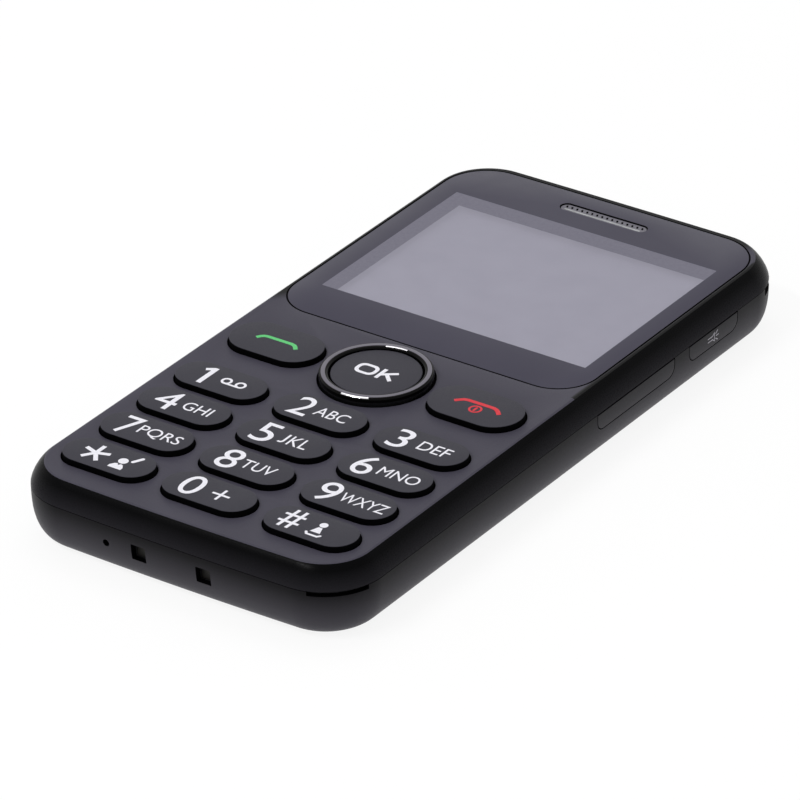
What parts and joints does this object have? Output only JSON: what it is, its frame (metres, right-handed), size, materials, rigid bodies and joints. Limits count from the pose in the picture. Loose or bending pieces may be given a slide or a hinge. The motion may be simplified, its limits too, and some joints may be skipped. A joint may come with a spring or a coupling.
{
  "type": "bar mobile phone",
  "caption": "Slim bar-shaped mobile phone lying on its back, with a display window above a rocking navigation ring and a numeric keypad of long rounded keys.",
  "frame": {"origin": "centre of the back face that the phone lies on", "axes": "+Z out of the front face, +Y towards the earpiece end, +X to the right seen from the front"},
  "size_m": [0.0632, 0.1262, 0.014],
  "materials": {
    "housing_plastic": "fine matte texture",
    "lens_plastic": "smooth semi-gloss",
    "tape_foam": "matte black",
    "black_mesh": "woven black",
    "receiver_metal": "plain",
    "lcd_glass": "switched off, semi-gloss",
    "backlight_film": "white film",
    "sheet_steel": "plain",
    "flex_film": "amber film",
    "connector_plastic": "moulded",
    "keypad_rubber": "matte",
    "dome_foil": "satin foil",
    "board_laminate": "solder mask",
    "battery_wrap": "wrapped",
    "chassis_plastic": "moulded",
    "camera_glass": "coated",
    "lamp_resin": "clear resin",
    "light_guide": "frosted clear",
    "contact_gold": "plated",
    "screw_steel": "blackened",
    "ring_plastic": "black",
    "dark_chrome": "polished",
    "cover_plastic": "fine matte texture",
    "side_key_plastic": "satin",
    "key_plastic": "satin"
  },
  "bodies": {
    "cover": {"battery_cover": "cover_plastic"},
    "handset": {"front_housing": "housing_plastic", "display_lens": "lens_plastic", "lens_tape": "tape_foam", "earpiece_mesh": "black_mesh", "earpiece": "receiver_metal", "lcd_gasket": "tape_foam", "lcd_panel": "lcd_glass", "lcd_backlight": "backlight_film", "lcd_frame": "sheet_steel", "lcd_flex": "flex_film", "lcd_connector": "connector_plastic", "keypad_mat": "keypad_rubber", "dome_sheet": "dome_foil", "main_board": "board_laminate", "shield_cans": "sheet_steel", "sim_holder": "sheet_steel", "memory_card_holder": "sheet_steel", "battery_contacts": "connector_plastic", "camera_module": "connector_plastic", "torch_lamp": "lamp_resin", "torch_lens": "light_guide", "loudspeaker": "connector_plastic", "loudspeaker_mesh": "black_mesh", "vibration_motor": "sheet_steel", "antenna": "chassis_plastic", "microphone": "receiver_metal", "microphone_boot": "keypad_rubber", "charge_contacts": "contact_gold", "side_switches": "connector_plastic", "housing_screws": "screw_steel", "battery": "battery_wrap", "rear_chassis": "chassis_plastic", "camera_window": "camera_glass", "usb_socket": "sheet_steel", "headphone_socket": "connector_plastic"},
    "key_1": {"key_1": "key_plastic"},
    "key_2": {"key_2": "key_plastic"},
    "key_3": {"key_3": "key_plastic"},
    "key_4": {"key_4": "key_plastic"},
    "key_5": {"key_5": "key_plastic"},
    "key_6": {"key_6": "key_plastic"},
    "key_7": {"key_7": "key_plastic"},
    "key_8": {"key_8": "key_plastic"},
    "key_9": {"key_9": "key_plastic"},
    "key_star": {"key_star": "key_plastic"},
    "key_0": {"key_0": "key_plastic"},
    "key_hash": {"key_hash": "key_plastic"},
    "call_key": {"call_key": "key_plastic"},
    "end_key": {"end_key": "key_plastic"},
    "ok_key": {"ok_key": "key_plastic"},
    "nav_tilt": {"nav_spring_ring": "sheet_steel"},
    "nav_rocker": {"nav_ring": "ring_plastic", "nav_ring_trim": "dark_chrome"},
    "volume_rocker": {"volume_rocker": "side_key_plastic"},
    "torch_key": {"torch_key": "side_key_plastic"}
  },
  "joints": [
    {"name": "cover_lift", "type": "slide", "parent": "cover", "child": "handset", "axis": [0, 0, 1], "range_m": [0, 0.015]},
    {"name": "key_1_press", "type": "slide", "parent": "handset", "child": "key_1", "axis": [0, 0, -1], "range_m": [0, 0.0004], "stiffness_N_per_m": 2000},
    {"name": "key_2_press", "type": "slide", "parent": "handset", "child": "key_2", "axis": [0, 0, -1], "range_m": [0, 0.0004], "stiffness_N_per_m": 2000},
    {"name": "key_3_press", "type": "slide", "parent": "handset", "child": "key_3", "axis": [0, 0, -1], "range_m": [0, 0.0004], "stiffness_N_per_m": 2000},
    {"name": "key_4_press", "type": "slide", "parent": "handset", "child": "key_4", "axis": [0, 0, -1], "range_m": [0, 0.0004], "stiffness_N_per_m": 2000},
    {"name": "key_5_press", "type": "slide", "parent": "handset", "child": "key_5", "axis": [0, 0, -1], "range_m": [0, 0.0004], "stiffness_N_per_m": 2000},
    {"name": "key_6_press", "type": "slide", "parent": "handset", "child": "key_6", "axis": [0, 0, -1], "range_m": [0, 0.0004], "stiffness_N_per_m": 2000},
    {"name": "key_7_press", "type": "slide", "parent": "handset", "child": "key_7", "axis": [0, 0, -1], "range_m": [0, 0.0004], "stiffness_N_per_m": 2000},
    {"name": "key_8_press", "type": "slide", "parent": "handset", "child": "key_8", "axis": [0, 0, -1], "range_m": [0, 0.0004], "stiffness_N_per_m": 2000},
    {"name": "key_9_press", "type": "slide", "parent": "handset", "child": "key_9", "axis": [0, 0, -1], "range_m": [0, 0.0004], "stiffness_N_per_m": 2000},
    {"name": "key_star_press", "type": "slide", "parent": "handset", "child": "key_star", "axis": [0, 0, -1], "range_m": [0, 0.0004], "stiffness_N_per_m": 2000},
    {"name": "key_0_press", "type": "slide", "parent": "handset", "child": "key_0", "axis": [0, 0, -1], "range_m": [0, 0.0004], "stiffness_N_per_m": 2000},
    {"name": "key_hash_press", "type": "slide", "parent": "handset", "child": "key_hash", "axis": [0, 0, -1], "range_m": [0, 0.0004], "stiffness_N_per_m": 2000},
    {"name": "call_key_press", "type": "slide", "parent": "handset", "child": "call_key", "axis": [0, 0, -1], "range_m": [0, 0.0004], "stiffness_N_per_m": 2000},
    {"name": "end_key_press", "type": "slide", "parent": "handset", "child": "end_key", "axis": [0, 0, -1], "range_m": [0, 0.0004], "stiffness_N_per_m": 2000},
    {"name": "ok_key_press", "type": "slide", "parent": "handset", "child": "ok_key", "axis": [0, 0, -1], "range_m": [0, 0.0004], "stiffness_N_per_m": 2000},
    {"name": "nav_up_down", "type": "hinge", "parent": "handset", "child": "nav_tilt", "pos_m": [0, -0.00895, 0.01015], "axis": [1, 0, 0], "range_deg": [-2.2, 2.2], "stiffness_Nm_per_rad": 0.34},
    {"name": "nav_left_right", "type": "hinge", "parent": "nav_tilt", "child": "nav_rocker", "pos_m": [0, -0.00895, 0.01015], "axis": [0, 1, 0], "range_deg": [-2.2, 2.2], "stiffness_Nm_per_rad": 0.34},
    {"name": "volume_rock", "type": "hinge", "parent": "handset", "child": "volume_rocker", "pos_m": [0.0294, 0.0165, 0.00715], "axis": [0, 0, 1], "range_deg": [-1.5, 1.5], "stiffness_Nm_per_rad": 0.4},
    {"name": "torch_key_press", "type": "slide", "parent": "handset", "child": "torch_key", "axis": [-1, 0, 0], "range_m": [0, 0.00035], "stiffness_N_per_m": 3000}
  ]
}
